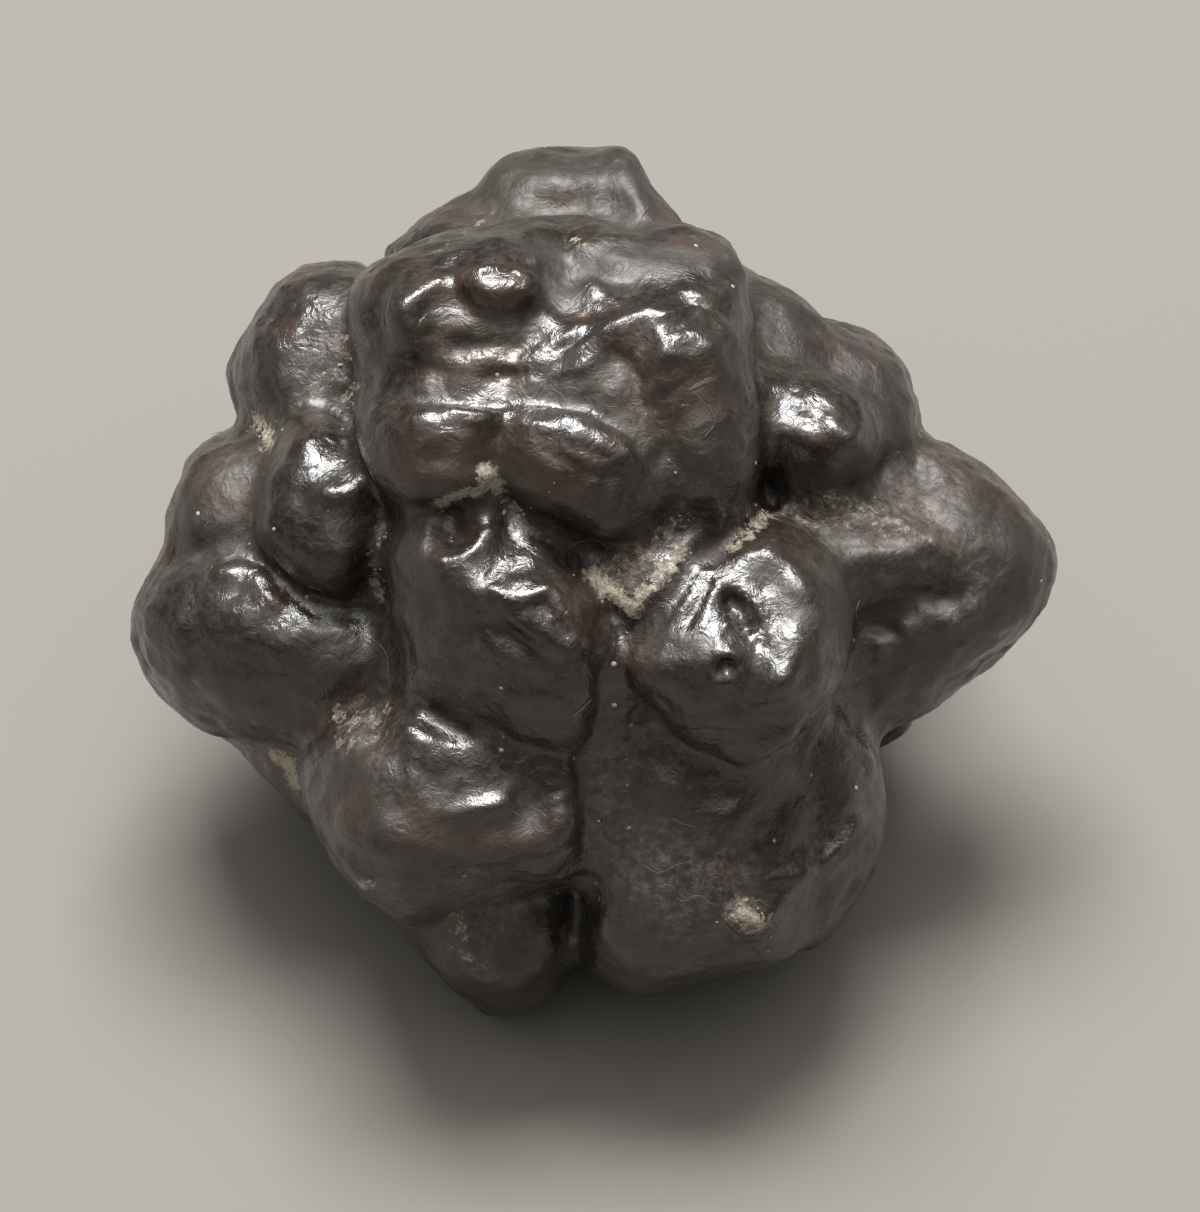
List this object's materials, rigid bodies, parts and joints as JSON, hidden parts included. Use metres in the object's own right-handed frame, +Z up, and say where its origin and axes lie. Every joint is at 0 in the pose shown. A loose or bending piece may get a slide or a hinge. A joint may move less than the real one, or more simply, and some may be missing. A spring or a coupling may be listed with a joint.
{
  "type": "prophecy stone",
  "caption": "Natural knobbly nodule of iron oxide, glossy and nearly black, that stands by itself on its lowest knobs.",
  "frame": {"origin": "middle of the stone's footprint, on the surface that it rests on", "axes": "+Z up as it stands, +X to the right along its longest side, -Y towards a viewer of its front"},
  "size_m": [0.0448, 0.0414, 0.0412],
  "materials": {
    "iron_oxide": "satin"
  },
  "bodies": {
    "root": {"stone": "iron_oxide"}
  },
  "joints": []
}
